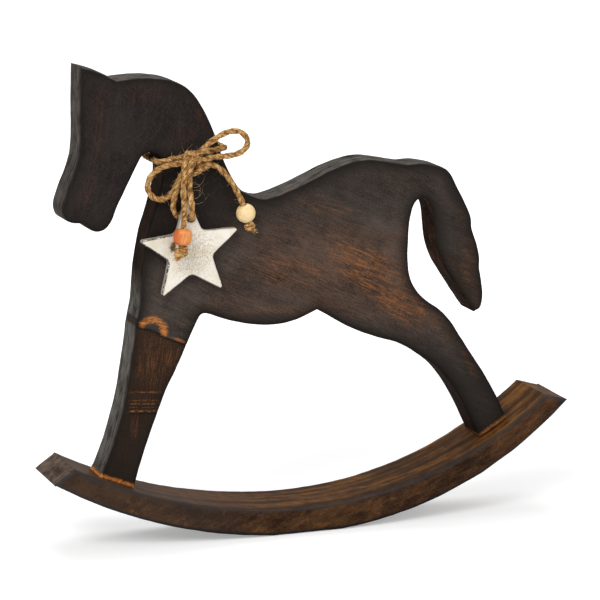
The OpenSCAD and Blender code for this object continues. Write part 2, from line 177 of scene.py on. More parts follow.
class Finish:
    """A new material with a Principled shader, and the places and marks to build it on."""

    def __init__(self, name, **even):
        self.material = bpy.data.materials.new(name)
        self.material.use_nodes = True
        self.tree = self.material.node_tree
        self.shader = self.tree.nodes["Principled BSDF"]
        for socket, value in even.items():
            self.shader.inputs[socket.replace("_", " ")].default_value = value
        self.start = Shade(self.tree, None)
        place = self.start.node("ShaderNodeTexCoord", out=3)
        # X, Y and Z on the object in millimetres
        self.mm = self.start.node(
            "ShaderNodeVectorMath", {0: place, "Scale": 1000.0}, operation="SCALE"
        ).parts()

    def cells(self, size, detail=3, rough=0.55):
        """Mottling from 0 to 1 with cells of that many millimetres."""
        x, y, z = self.mm
        return self.start.point(x / size, y / size, z / size).mottle(detail, rough)

    def facing(self):
        """The X, Y and Z of the way that the surface faces."""
        return self.start.node("ShaderNodeNewGeometry", out=1).parts()

    def layer(self, name):
        """A number that the mesh carries at each of its points."""
        return self.start.node("ShaderNodeAttribute", attribute_name=name, out=2)

    def feed(self, socket, value):
        self.tree.links.new(value.socket, self.shader.inputs[socket])

    def cover(self, *pieces):
        """Gives the pieces this finish and no other."""
        for piece in pieces:
            piece.data.materials.clear()
            piece.data.materials.append(self.material)

    def relief(self, height, depth):
        """Bumps of that depth in metres where height goes from 0 to 1."""
        bump = self.start.node(
            "ShaderNodeBump", {"Height": height, "Distance": depth, "Strength": 1.0}
        )
        self.feed("Normal", bump)


def seen_by(tree):
    """Three masks: 1 on the camera's rays, on a gloss's and on a glass's."""
    rays = Shade(tree, None).node("ShaderNodeLightPath").socket.node.outputs
    return [Shade(tree, rays[f"Is {kind} Ray"]) for kind in ("Camera", "Glossy", "Transmission")]


WORLD_LIGHT = 0.42
world = bpy.data.worlds.new("studio")
bpy.context.scene.world = world
world.use_nodes = True
world_tree = world.node_tree
backdrop_light = world_tree.nodes["Background"]
backdrop_light.inputs["Color"].default_value = (1, 1, 1, 1)
# The white backdrop is behind the horse, and the room in front of it is dimmer
by_camera, by_gloss, by_glass = seen_by(world_tree)
_, sky_y, sky_z = Shade(world_tree, None).node("ShaderNodeTexCoord", out=0).parts()
backdrop = sky_y.rise(-0.25, 0.3) * sky_z.rise(0.24, 0.02)
white_seen = (by_camera + by_gloss * backdrop + by_glass).least(1)
world_tree.links.new(
    (white_seen * (1 - WORLD_LIGHT) + WORLD_LIGHT).socket, backdrop_light.inputs["Strength"]
)

FLOOR_REACH = 6
PAPER = 0.85
FLOOR_GLOSS = 0.35  # how much of the white floor a gloss sees
NEAR_GLOW, FAR_GLOW = 0.34, 0.7
corners = [(x * FLOOR_REACH, y * FLOOR_REACH, 0) for x, y in ((-1, -1), (1, -1), (1, 1), (-1, 1))]
floor_mesh = bpy.data.meshes.new("floor")
floor_mesh.from_pydata(corners, [], [(0, 1, 2, 3)])
floor = placed("floor", floor_mesh)
paper = Finish(
    "paper", Roughness=1, Specular_IOR_Level=0,
    Base_Color=(PAPER, PAPER, PAPER, 1), Emission_Color=(1, 1, 1, 1),
)
by_camera, by_gloss, by_glass = seen_by(paper.tree)
away = paper.mm[0].reach(paper.mm[1]).rise(150, 900)
white_seen = (by_camera + by_gloss * FLOOR_GLOSS + by_glass).least(1)
paper.feed("Emission Strength", white_seen * (away * (FAR_GLOW - NEAR_GLOW) + NEAR_GLOW))
paper.cover(floor)

for lamp_name, size, watts, place in (
    ("key lamp", 1.2, 40, (-1.5, -1.6, 1.9)),
    ("fill lamp", 1.8, 15, (1.9, -1.7, 1.2)),
    ("top lamp", 1.6, 16, (0.1, 0.7, 2.2)),
):
    lamp = placed(lamp_name, bpy.data.lights.new(lamp_name, "AREA"))
    lamp.data.size = size
    lamp.data.energy = watts
    lamp.location = place
    lamp.rotation_euler = (Vector(place) - AIM).to_track_quat("Z", "Y").to_euler()


# ---------------------- The twine of the bow
# One cord of natural jute, two plies laid together, about 4 mm thick. It goes
# round the neck and is tied in a bow in front, with its ends left long.

TWINE_D = 0.004
TWINE_LAY = 0.0145  # one whole turn of a ply round the other
PLY_OFF = 0.2  # how far a ply is off the middle, as a share of the radius
SLACK_LAY = 0.12  # how unevenly the plies are turned, in turns
STRAND_RELIEF, LUMPS, SHRUNK = 0.1, 0.08, 0.02  # shares of the radius
TWINE_STEP, SPAN_PARTS = 0.0005, 16
TWINE_SIDES = 24
BOARD_T = 0.025

# Each place is X, the distance out from the front of the board, and Z
LEFT_LOOP = [
    (-0.0886, 0.0072, 0.2518), (-0.0920, 0.0072, 0.2516), (-0.0960, 0.0069, 0.2512),
    (-0.1006, 0.0066, 0.2505), (-0.1052, 0.0063, 0.2491), (-0.1093, 0.0060, 0.2465),
    (-0.1125, 0.0058, 0.2427), (-0.1139, 0.0056, 0.2379), (-0.1127, 0.0054, 0.2333),
    (-0.1093, 0.0051, 0.2299), (-0.1047, 0.0046, 0.2285), (-0.1001, 0.0039, 0.2295),
    (-0.0965, 0.0033, 0.2325), (-0.0938, 0.0029, 0.2365), (-0.0914, 0.0026, 0.2408),
    (-0.0895, 0.0030, 0.2442), (-0.0880, 0.0040, 0.2466),
]
RIGHT_LOOP = [
    (-0.0850, 0.0096, 0.2508), (-0.0836, 0.0104, 0.2540), (-0.0812, 0.0112, 0.2576),
    (-0.0776, 0.0122, 0.2616), (-0.0730, 0.0130, 0.2656), (-0.0674, 0.0136, 0.2692),
    (-0.0612, 0.0136, 0.2713), (-0.0552, 0.0130, 0.2711), (-0.0506, 0.0118, 0.2683),
    (-0.0480, 0.0104, 0.2639), (-0.0490, 0.0088, 0.2591), (-0.0534, 0.0076, 0.2559),
    (-0.0594, 0.0072, 0.2547), (-0.0660, 0.0074, 0.2545), (-0.0726, 0.0077, 0.2541),
    (-0.0776, 0.0078, 0.2534), (-0.0818, 0.0076, 0.2526),
]
LEFT_TAIL = [
    (-0.0886, 0.0102, 0.2484), (-0.0898, 0.0110, 0.2452), (-0.0909, 0.0112, 0.2416),
    (-0.0916, 0.0113, 0.2376), (-0.0918, 0.0116, 0.2335), (-0.0917, 0.0121, 0.2295),
    (-0.0916, 0.0128, 0.2255), (-0.0919, 0.0136, 0.2215), (-0.0924, 0.0142, 0.2175),
    (-0.0928, 0.0146, 0.2135), (-0.0931, 0.0148, 0.2093), (-0.0936, 0.0148, 0.2053),
    (-0.0941, 0.0148, 0.2013), (-0.0947, 0.0148, 0.1966),
]
RIGHT_TAIL = [
    (-0.0820, 0.0058, 0.2485), (-0.0780, 0.0053, 0.2494), (-0.0736, 0.0050, 0.2497),
    (-0.0694, 0.0048, 0.2487), (-0.0654, 0.0045, 0.2464), (-0.0618, 0.0044, 0.2431),
    (-0.0586, 0.0046, 0.2391), (-0.0558, 0.0052, 0.2347), (-0.0534, 0.0060, 0.2301),
    (-0.0514, 0.0066, 0.2256), (-0.0497, 0.0068, 0.2213), (-0.0482, 0.0068, 0.2165),
    (-0.0470, 0.0068, 0.2126), (-0.0461, 0.0068, 0.2097),
]
STAR_CORD = [
    (-0.0867, 0.0086, 0.2439), (-0.0870, 0.0094, 0.2407), (-0.0872, 0.0104, 0.2373),
    (-0.0873, 0.0116, 0.2339), (-0.0873, 0.0128, 0.2305), (-0.0872, 0.0138, 0.2271),
    (-0.0870, 0.0144, 0.2236), (-0.0867, 0.0142, 0.2204), (-0.0864, 0.0128, 0.2177),
    (-0.0861, 0.0104, 0.2162), (-0.0860, 0.0070, 0.2159), (-0.0860, 0.0036, 0.2160),
]
STAR_CORD_END = [
    (-0.0881, 0.0023, 0.2154), (-0.0910, 0.0023, 0.2158), (-0.0936, 0.0024, 0.2173),
    (-0.0955, 0.0033, 0.2199), (-0.0965, 0.0047, 0.2232), (-0.0967, 0.0062, 0.2270),
    (-0.0963, 0.0075, 0.2310), (-0.0954, 0.0080, 0.2351), (-0.0940, 0.0078, 0.2389),
    (-0.0923, 0.0073, 0.2420), (-0.0905, 0.0068, 0.2446),
]


def in_front(place):
    """A place of the tables above, in the space of the frame."""
    x, out, z = place
    return Vector((x, -BOARD_T / 2 - out, z))


def smooth_line(points):
    """Points a step apart along a smooth curve through the given ones."""
    many, last = [], len(points) - 1
    for i in range(last):
        a, b, c, d = (points[min(max(i + k, 0), last)] for k in (-1, 0, 1, 2))
        square, cube = 2 * a - 5 * b + 4 * c - d, 3 * b - a - 3 * c + d
        for t in (k / SPAN_PARTS for k in range(SPAN_PARTS)):
            many.append(0.5 * (2 * b + (c - a) * t + square * t * t + cube * t * t * t))
    many.append(points[-1])
    even, walked = [many[0]], 0.0
    for a, b in zip(many, many[1:]):
        gap = (b - a).length
        while gap > 0 and walked + gap >= TWINE_STEP:
            a = a + (b - a) * ((TWINE_STEP - walked) / gap)
            gap = (b - a).length
            even.append(a)
            walked = 0.0
        walked += gap
    if (even[-1] - many[-1]).length > TWINE_STEP / 2:
        even.append(many[-1])
    else:
        even[-1] = many[-1]
    return even


def along(line):
    """The direction of a line at each of its points."""
    last = len(line) - 1
    return [(line[min(i + 1, last)] - line[max(i - 1, 0)]).normalized() for i in range(last + 1)]


def twine(name, line, thickness=TWINE_D, first_turn=0.0, taper=0.0, fuzz=True):
    """A cord of two plies along a line. Its map runs along the plies in millimetres."""
    ways = along(line)
    side = ways[0].orthogonal().normalized()
    bm = bmesh.new()
    fibres = bm.loops.layers.uv.new("fibres")
    rings, walked = [], 0.0
    for i, (middle, way) in enumerate(zip(line, ways)):
        if i:
            walked += (middle - line[i - 1]).length
        side = (side - side.dot(way) * way).normalized()
        up = way.cross(side)
        slack = noise.noise(Vector((walked * 45, first_turn * 11, 9.0)))
        turn = 2 * pi * (walked / TWINE_LAY + first_turn + SLACK_LAY * slack)
        ring = []
        end = min(i, len(line) - 1 - i) * TWINE_STEP
        shrink = 1 - taper * max(0.0, 1 - end / (thickness / 2)) ** 2
        for k in range(TWINE_SIDES):
            round_ply = 2 * pi * k / TWINE_SIDES
            ply = abs(cos(round_ply))
            reach = PLY_OFF * ply + sqrt((1 - PLY_OFF) ** 2 - PLY_OFF**2 * (1 - ply * ply))
            strand = noise.noise(Vector((walked * 170 + k * 0.35, k * 1.1, first_turn * 31)))
            which_ply = 2 * (k > TWINE_SIDES / 2)
            lump = noise.noise(Vector((walked * 110, first_turn * 17 + which_ply, 5.0)))
            far = thickness / 2 * shrink * (reach + STRAND_RELIEF * strand + LUMPS * lump - SHRUNK)
            a = round_ply + turn
            ring.append(bm.verts.new(middle + far * (cos(a) * side + sin(a) * up)))
        rings.append(ring)
    along_mm = TWINE_STEP * 1000
    round_mm = pi * thickness * 1000 / TWINE_SIDES
    for i, (ring, after) in enumerate(zip(rings, rings[1:])):
        for k in range(TWINE_SIDES):
            n = (k + 1) % TWINE_SIDES
            face = bm.faces.new((ring[k], ring[n], after[n], after[k]))
            face.smooth = True
            for loop, (u, v) in zip(face.loops, ((i, k), (i, k + 1), (i + 1, k + 1), (i + 1, k))):
                loop[fibres].uv = (u * along_mm, v * round_mm)
    for ring in (rings[0], rings[-1]):
        middle = bm.verts.new(sum((v.co for v in ring), Vector()) / TWINE_SIDES)
        for k in range(TWINE_SIDES):
            bm.faces.new((ring[k], ring[(k + 1) % TWINE_SIDES], middle)).smooth = True
    strand = piece_from(name, bm)
    jute.cover(strand)
    if fuzz:
        fuzz_of(name + "_fuzz", line, ways, thickness).parent = strand
    return strand


HAIR_TAPER = 0.8
FUZZ_PER_METRE = 900
FUZZ_ROOT = 0.42  # how far out of the cord a fibre starts, as a share of its thickness
FUZZ_LENGTHS = (0.0012, 0.0036)
FUZZ_CURL = 350


def any_way(chance):
    """A vector with each part anywhere from -1 to 1."""
    return Vector([chance.uniform(-1, 1) for _ in range(3)])


def hairs(name, finish, threads, thick=0.00008, parts=5):
    """Fine tapered fibres that curl. Each has its root, its way, its bend and its length."""
    bm = bmesh.new()
    for root, way, bend, length in threads:
        place, way, before = root.copy(), way.normalized(), None
        for i in range(parts + 1):
            out = way.orthogonal().normalized()
            girth = thick * (1 - HAIR_TAPER * i / parts)
            ring = [
                bm.verts.new(place + girth * (cos(a) * out + sin(a) * way.cross(out)))
                for a in (0, 2.1, 4.2)
            ]
            if before:
                for k in range(3):
                    n = (k + 1) % 3
                    bm.faces.new((before[k], before[n], ring[n], ring[k]))
            before = ring
            way = (way + bend * (length / parts)).normalized()
            place += way * (length / parts)
    made = piece_from(name, bm)
    finish.cover(made)
    return made


def fuzz_of(name, line, ways, thickness):
    """Short fibres that stand off a cord all along it."""
    chance = random.Random(name)
    threads = []
    for _ in range(int(len(line) * TWINE_STEP * FUZZ_PER_METRE)):
        i = chance.randrange(2, len(line) - 2)
        turn = Matrix.Rotation(chance.uniform(0, 2 * pi), 3, ways[i])
        out = turn @ ways[i].orthogonal().normalized()
        way = out * chance.uniform(0.25, 1.0) + ways[i] * chance.uniform(-1.2, 1.2)
        root = line[i] + out * thickness * FUZZ_ROOT
        threads.append((root, way, any_way(chance) * FUZZ_CURL, chance.uniform(*FUZZ_LENGTHS)))
    return hairs(name, stray_fibre, threads)


def piece_from(name, bm):
    """A new object of that mesh, with its faces turned outward."""
    bmesh.ops.recalc_face_normals(bm, faces=bm.faces)
    mesh = bpy.data.meshes.new(name)
    bm.to_mesh(mesh)
    bm.free()
    return placed(name, mesh)


def takes_place(piece, node, body="horse"):
    """A piece that moves with a body and is shown in place of a plain solid."""
    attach(piece, body)
    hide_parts(node)


jute = Finish("jute twine", Roughness=0.8, Specular_IOR_Level=0.12)
lengthwise, crosswise, _ = jute.start.node("ShaderNodeUVMap", uv_map="fibres").parts()
fine_fibres = jute.start.point(lengthwise * 0.22 + crosswise * 0.2, crosswise * 2.0, 3.0)
fine_fibres = fine_fibres.mottle(detail=4, rough=0.75)
tufts = jute.cells(1 / 0.42)
round_cord = crosswise * (2 / (TWINE_D * 1000))
groove = abs(round_cord.maths("COSINE", round_cord))
straw = fine_fibres.node(
    "ShaderNodeValToRGB",
    {0: fine_fibres * 2.3 + tufts * 1.1 - 1.2},
    stops=(
        (0.1, (0.07, 0.027, 0.007)),
        (0.32, (0.27, 0.114, 0.03)),
        (0.53, (0.54, 0.272, 0.078)),
        (0.8, (0.98, 0.66, 0.3)),
    ),
)
# Painted shade: the colour darkens in the grooves between the two plies
groove_shade = groove.rise(0.0, 0.5) * 0.7 + 0.3
jute.feed("Base Color", groove_shade.blended((0.1, 0.045, 0.014), straw))
jute.relief(fine_fibres * 0.8 + tufts * 0.2, 0.0009)

stray_fibre = Finish("stray jute fibre", Roughness=0.75, Specular_IOR_Level=0.2)
bleached = stray_fibre.cells(1 / 0.6).rise(0.35, 0.65)
stray_fibre.feed("Base Color", bleached.blended((0.42, 0.27, 0.13), (0.8, 0.62, 0.4)))


def declare_cord(name, places, turn):
    """One strand of the bow, on its own route, in place of the plain solid of that name."""
    line = smooth_line([in_front(place) for place in places])
    strand = twine(name + "_twine", line, first_turn=turn)
    length = sum((b - a).length for a, b in zip(line, line[1:]))
    takes_place(strand, name)


def curl(middle, across, up, radii, turns, count=22):
    """A short coil round a middle, for the turn of a knot."""
    out = across.cross(up)
    return [
        middle
        + across * radii[0] * cos(2 * pi * turns * t)
        + up * radii[1] * sin(2 * pi * turns * t)
        + out * radii[2] * (2 * t - 1)
        for t in (k / (count - 1) for k in range(count))
    ]


# -------------------- The knots on the tails
# Each tail ends in an overhand knot that keeps its bead on, pulled hard, with a short cut end that
# frays.
# Beside the left one sticks out a tuft of fibre, dark with dust and with painted shade.

KNOT_END_D = 0.0036
FRAY_HAIRS, FRAY_LENGTHS, FRAY_THICK, FRAY_SPREAD = 26, (0.0008, 0.0022), 0.0001, 0.0012
TUFT_LENGTHS, TUFT_THICK, TUFT_SPREAD, TUFT_CURL = (0.0014, 0.0036), 0.00015, 0.001, 260


def stopper(name, node, tail, girth, turns, cut_way, tuft_hairs=0):
    """A hard overhand knot in the space of its plain solid, and its cut end below it."""
    low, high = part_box(node)
    middle, half = (low + high) / 2, (high - low) / 2
    down = (in_front(tail[-1]) - in_front(tail[-3])).normalized()
    across = Vector((0, 1, 0)).cross(down).normalized()
    face = across.cross(down)
    radii = (half.x - girth / 2, half.x * 0.9 - girth / 2, half.z - girth / 2)
    made = twine(name, smooth_line(curl(middle, across, face, radii, turns)), girth, first_turn=0.3)
    cut = [
        middle + lower * half.z * down + aside * half.x * cut_way * across
        for lower, aside in ((0.3, 0), (0.9, 0.25), (1.25, 0.6))
    ]
    end = twine(name + "_end", smooth_line(cut), KNOT_END_D, taper=0.15, first_turn=0.1)
    chance = random.Random(name)
    fray, tuft = [], []
    for _ in range(FRAY_HAIRS):
        way = (cut[2] - cut[1]).normalized() + 0.5 * any_way(chance)
        root = cut[2] + FRAY_SPREAD * any_way(chance)
        fray.append((root, way, Vector(), chance.uniform(*FRAY_LENGTHS)))
    for _ in range(tuft_hairs):
        above = half.z * 0.75 + chance.uniform(-0.002, 0.002)
        root = middle + across * half.x * 1.05 - down * above + TUFT_SPREAD * any_way(chance)
        way = down * chance.uniform(-0.7, 0.9) + across * chance.uniform(0.3, 1.3)
        way += face * chance.uniform(0, 0.6)
        tuft.append((root, way, any_way(chance) * TUFT_CURL, chance.uniform(*TUFT_LENGTHS)))
    parts = [end, hairs(name + "_fray", stray_fibre, fray, FRAY_THICK, 3)]
    if tuft:
        parts.append(hairs(name + "_brush", dusty_shaded_fibre, tuft, TUFT_THICK))
    for part in parts:
        part.parent = made
    takes_place(made, node)
    return made


# Dark fibre for the tuft: partly dust and partly painted shade
dusty_shaded_fibre = Finish("dusty shaded jute fibre", Roughness=0.85, Specular_IOR_Level=0.1)
tuft_mottle = dusty_shaded_fibre.cells(1 / 0.7).rise(0.35, 0.65)
dusty_shaded_fibre.feed("Base Color", tuft_mottle.blended((0.13, 0.085, 0.038), (0.36, 0.25, 0.125)))
left_knot = stopper("left_tail_knot", "left_stopper", LEFT_TAIL, 0.0042, 1.6, 1, tuft_hairs=210)
right_knot = stopper("right_tail_knot", "right_stopper", RIGHT_TAIL, 0.0034, 1.4, -1)

# The knot behind the star holds its cord: one hard turn of the same twine
low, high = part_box("star_tie")
tie_middle = (low + high) / 2
star_curl = curl(tie_middle, Vector((1, 0, 0)), Vector((0, 0, 1)), (0.0024, 0.0024, 0.0003), 0.98)
star_knot = twine("star_knot", smooth_line(star_curl), KNOT_END_D, fuzz=False)
takes_place(star_knot, "star_tie")

declare_cord("left_loop", LEFT_LOOP, 0.1)
declare_cord("right_loop", RIGHT_LOOP, 0.35)
declare_cord("left_tail", LEFT_TAIL, 0.6)
declare_cord("right_tail", RIGHT_TAIL, 0.2)
declare_cord("star_cord", STAR_CORD, 0.8)
declare_cord("star_cord_end", STAR_CORD_END, 0.45)


# ------ The turn round the neck and its knot
# The middle of the cord lies tight round the throat. The bow is tied over it in
# front with one hard overhand turn, two strands draped over the wrap.

PROUD_AT_THROAT, IN_AT_NAPE = 0.0011, 0.0012  # against the ends of the solid
wrap_low, wrap_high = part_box("neck_wrap")
throat_x = wrap_low.x + TWINE_D / 2 - PROUD_AT_THROAT
nape_x = wrap_high.x - TWINE_D / 2 - IN_AT_NAPE
front_y, back_y = wrap_low.y + TWINE_D / 2, wrap_high.y - TWINE_D / 2
THROAT_Z, NAPE_Z = 0.2522, 0.2592
KNOT_X = -0.0865


def on_wrap(x, y):
    """A point of the wrap's centreline, which rises from throat to nape."""
    climb = (NAPE_Z - THROAT_Z) / (nape_x - throat_x)
    return Vector((x, y, THROAT_Z + climb * (x - throat_x)))


ROUND = 0.0024
wrap_points = [on_wrap(KNOT_X - 0.001, front_y), on_wrap(KNOT_X + 0.006, front_y)]
for cx, cy, a0 in (
    (nape_x - ROUND, front_y + ROUND, 270),
    (nape_x - ROUND, back_y - ROUND, 0),
    (throat_x + ROUND, back_y - ROUND, 90),
    (throat_x + ROUND, front_y + ROUND, 180),
):
    for a in (radians(a0 + further) for further in (0, 30, 60, 90)):
        wrap_points.append(on_wrap(cx + ROUND * cos(a), cy + ROUND * sin(a)))
wrap_points += [on_wrap(KNOT_X - 0.006, front_y), on_wrap(KNOT_X + 0.001, front_y)]
neck_turn = twine("neck_turn", smooth_line(wrap_points))
takes_place(neck_turn, "neck_wrap")

KNOT_STRANDS = {
    "knot_front_left": [
        (-0.0866, 0.0020, 0.2505), (-0.0872, 0.0048, 0.2542), (-0.0884, 0.0080, 0.2551),
        (-0.0899, 0.0106, 0.2529), (-0.0908, 0.0113, 0.2492), (-0.0911, 0.0112, 0.2440),
    ],
    "knot_front_right": [
        (-0.0830, 0.0020, 0.2502), (-0.0838, 0.0050, 0.2540), (-0.0850, 0.0084, 0.2550),
        (-0.0862, 0.0112, 0.2524), (-0.0870, 0.0113, 0.2478), (-0.0872, 0.0102, 0.2425),
    ],
    "knot_pinch": [
        (-0.0880, 0.0040, 0.2560), (-0.0872, 0.0082, 0.2580), (-0.0846, 0.0108, 0.2581),
        (-0.0820, 0.0110, 0.2562), (-0.0806, 0.0094, 0.2532), (-0.0804, 0.0060, 0.2504),
    ],
    "knot_back_cross": [
        (-0.0862, 0.0066, 0.2430), (-0.0833, 0.0072, 0.2446), (-0.0791, 0.0070, 0.2462),
        (-0.0752, 0.0062, 0.2482), (-0.0712, 0.0052, 0.2492),
    ],
}
KNOT_D = 0.0042
bow_knot, *over_it = [
    twine(name, smooth_line([in_front(p) for p in places]), KNOT_D, len(name) / 7, taper=0.3)
    for name, places in KNOT_STRANDS.items()
]
for strand in over_it:
    strand.parent = bow_knot
takes_place(bow_knot, "bow_knot")

# Long loose fibres that curl out of the knot and the cords below it
LOOSE_FIBRES = (
    ((-0.0850, 0.0125, 0.2385), (1.0, -0.1, 0.5), (-200, 0, -330), 0.011),
    ((-0.0850, 0.0125, 0.2365), (1.0, -0.2, -0.3), (60, 0, 260), 0.013),
    ((-0.0855, 0.0130, 0.2345), (1.0, 0.0, 0.4), (0, 0, -190), 0.010),
    ((-0.0850, 0.0130, 0.2290), (1.0, -0.1, 0.1), (-70, 0, 150), 0.014),
    ((-0.0850, 0.0130, 0.2262), (1.0, 0.0, -0.5), (0, 0, 170), 0.012),
    ((-0.0890, 0.0085, 0.2560), (-0.4, -0.2, 1.0), (190, 0, 40), 0.012),
    ((-0.0880, 0.0095, 0.2570), (-0.9, -0.1, 0.5), (30, 0, 150), 0.010),
    ((-0.0945, 0.0090, 0.2420), (-1.0, -0.2, -0.1), (0, 0, -160), 0.008),
    ((-0.0820, 0.0110, 0.2575), (0.5, -0.2, 1.0), (-210, 0, 0), 0.007),
)
LOOSE_THICK, LOOSE_PARTS = 0.00007, 14
curled = [
    (in_front(place), Vector(way), Vector(bend), length)
    for place, way, bend, length in LOOSE_FIBRES
]
hairs("loose_fibres", stray_fibre, curled, LOOSE_THICK, LOOSE_PARTS).parent = bow_knot


# --------------------------------- The beads
# Two turned wooden beads, drilled for the cord: one plain birch, one dyed peach.


def on_turned_axes(x, z, degrees):
    """The X and Z of a place on axes that are turned by that angle."""
    across, up = cos(radians(degrees)), sin(radians(degrees))
    return x * across + z * up, z * across - x * up


def bead_wood(name, pale, deep, grain_turn, stain_side=None):
    """Fine bead wood: close grain, and a side where the end grain drank more colour."""
    wood = Finish(name, Roughness=0.34, Specular_IOR_Level=0.4)
    x, y, z = wood.mm
    lengthwise, crosswise = on_turned_axes(x, z, grain_turn)
    grain = wood.start.point(lengthwise * 0.12, y * 0.5, crosswise * 1.1).mottle()
    cloud = wood.start.point(x * 0.09, y * 0.09, z * 0.09 + 4).mottle(detail=1)
    mixed = (grain * 0.45 + cloud * 0.35).rise(0.36, 0.62)
    if stain_side is not None:
        mixed = mixed.most((x + grain * 2).rise(stain_side + 2.5, stain_side - 1.5) * 0.9)
    wood.feed("Base Color", mixed.blended(pale, deep))
    wood.relief(grain, 0.00008)
    return wood


birch = bead_wood("pale bead wood", (0.96, 0.735, 0.395), (0.88, 0.48, 0.18), 22.9183)
peach = bead_wood("peach bead wood", (0.86, 0.345, 0.098), (0.6, 0.118, 0.022), 74.4845, -96)
birch.cover(nodes["right_bead"])
peach.cover(nodes["left_bead"])


# -------------------------- The horse boards
# Head, body and front leg are sawn from 25 mm boards, glued edge to edge over
# dowels, sanded flush together, rounded along their arrises and stained dark.

BOARD_VOXEL = 0.00125
ARRIS = 0.0024
RIM_REACH = 0.011  # how far in from its edges a face is darker
FACE_SWELL, WALL_SWELL, CHATTER = 0.0002, 0.00022, 0.00016
ON_FACE = 0.5  # a normal's Y is more than this on the faces, and less on the sawn walls
SHARP = radians(28)
WELD = 0.00002
AT_END, END_FADE, LEAST_ROUND = 0.0004, 0.004, 0.12  # the arris fades towards a foot's end
# The rocker's top is two arcs through its lowest point, and the feet stand on them
TOP_MIDDLE = Vector((-0.0084, 0, 0.0179))
FRONT_TOP_R, REAR_TOP_R = 0.333, 0.268
NECK_SEAM = (Vector((-0.1124, 0, 0.2028)), Vector((-0.043, 0, 0.2273)))
LEG_SEAM = (Vector((-0.1209, 0, 0.1465)), Vector((-0.0864, 0, 0.1303)))


def seam_up(seam):
    way = (seam[1] - seam[0]).normalized()
    return Vector((-way.z, 0, way.x))


def foot_height(co):
    """How far a point is above the top of the rocker."""
    radius = FRONT_TOP_R if co.x < TOP_MIDDLE.x else REAR_TOP_R
    return radius - hypot(co.x - TOP_MIDDLE.x, co.z - TOP_MIDDLE.z - radius)


def welded(names, seams=()):
    """The CAD solids as one shell, without the faces that are glued and the holes inside."""
    shell = bmesh.new()
    for name in names:
        shell.from_mesh(nodes[name].data)
    bmesh.ops.remove_doubles(shell, verts=shell.verts, dist=WELD)
    shell.normal_update()
    glued = [
        f
        for f in shell.faces
        for seam in seams
        if all(
            abs((v.co - seam[0]).dot(seam_up(seam))) < 1.5 * WELD
            and seam[0].x - 0.001 < v.co.x < seam[1].x + 0.001
            for v in f.verts
        )
    ]
    bmesh.ops.delete(shell, geom=list(set(glued)), context="FACES")
    left, islands = set(shell.verts), []
    while left:
        island = edge = {left.pop()}
        while edge:
            edge = {e.other_vert(v) for v in edge for e in v.link_edges} & left
            left = left - edge
            island = island | edge
        islands.append(island)
    islands.sort(key=len)
    for island in islands[:-1]:
        bmesh.ops.delete(shell, geom=list(island), context="VERTS")
    bmesh.ops.remove_doubles(shell, verts=shell.verts, dist=WELD)
    shell.normal_update()
    return shell


def remeshed(shell, voxel):
    """A shell as an even net of small faces."""
    mesh = bpy.data.meshes.new("net")
    shell.to_mesh(mesh)
    holder = placed("net", mesh)
    remesh = holder.modifiers.new("even", "REMESH")
    remesh.mode, remesh.voxel_size = "VOXEL", voxel
    deps = bpy.context.evaluated_depsgraph_get()
    net = bmesh.new()
    net.from_mesh(holder.evaluated_get(deps).data)
    bpy.data.objects.remove(holder)
    return net


def sharp_corners(shell):
    """The sawn corners of a board: X and Z of its edges that run straight through it."""
    corners = []
    for e in shell.edges:
        a, b = (v.co for v in e.verts)
        long = (a - b).length
        straight_through = long > 0.002 and abs(a.y - b.y) > 0.9 * long
        if len(e.link_faces) == 2 and straight_through and e.calc_face_angle(0) > SHARP:
            corners.append(Vector((a.x, 0, a.z)))
    return corners


def hand_rounded(shell, half_t, radius, voxel, ends_at=None, waves=1.0):
    """The shell as an even net, with rounded long arrises and the waviness of saw and sander."""
    net = remeshed(shell, voxel)
    whole = BVHTree.FromBMesh(shell)
    walls_only = shell.copy()
    walls_only.normal_update()
    not_walls = [
        f
        for f in walls_only.faces
        if abs(f.normal.y) > ON_FACE or (ends_at and all(abs(ends_at(v.co)) < AT_END for v in f.verts))
    ]
    bmesh.ops.delete(walls_only, geom=not_walls, context="FACES")
    walls = BVHTree.FromBMesh(walls_only)
    walls_only.free()
    net.verts.ensure_lookup_table()
    plan = KDTree(len(net.verts))
    for v in net.verts:
        plan.insert((v.co.x, 0, v.co.z), v.index)
    plan.balance()
    for corner in sharp_corners(shell):
        for _, index, _ in plan.find_range(corner, 0.85 * voxel):
            v = net.verts[index]
            v.co.x, v.co.z = corner.x, corner.z
    for layer in ("arris", "rim"):
        net.verts.layers.float.new(layer)
    near_arris, rim = (net.verts.layers.float[layer] for layer in ("arris", "rim"))
    for v in net.verts:
        on, normal, _, _ = whole.find_nearest(v.co)
        v.co = on
        near, wall_normal, _, far = walls.find_nearest(v.co)
        inward = Vector((v.co.x - near.x, 0, v.co.z - near.z))
        inward = inward.normalized() if far > 0.0002 else -wall_normal
        uneven = noise.noise(v.co * 45) * 0.3 + noise.noise(v.co * 140) * 0.15
        r = radius * (1 + uneven)
        if ends_at:
            r *= min(1, max(LEAST_ROUND, abs(ends_at(v.co)) / END_FADE))
        face_gap = half_t - abs(v.co.y)
        a, b = r - far, r - face_gap
        # How near a point is to an arris: used for pits, and for painted shade and reflection on the
        # arrises
        v[near_arris] = max(0.0, min(1.0, 1 - max(far, face_gap) / (radius * 2)))
        v[rim] = max(0.0, 1 - far / RIM_REACH)
        if a > 0 and b > 0 and hypot(a, b) > r:
            scale = r / hypot(a, b)
            v.co += inward * (a - a * scale)
            v.co.y = copysign(half_t - (r - b * scale), v.co.y)
        # low swells left by the sander, and chatter on the sawn walls
        swell = noise.noise(v.co * 38 + Vector((7, 0, 0)))
        if abs(normal.y) > ON_FACE:
            v.co.y -= copysign(waves * FACE_SWELL * (swell + 0.5), v.co.y)
        else:
            chatter = noise.noise(Vector((v.co.x * 150, v.co.y * 12, v.co.z * 150)))
            v.co -= normal * waves * (WALL_SWELL * (swell + 0.5) + CHATTER * chatter)
    for f in net.faces:
        f.smooth = True
    return net


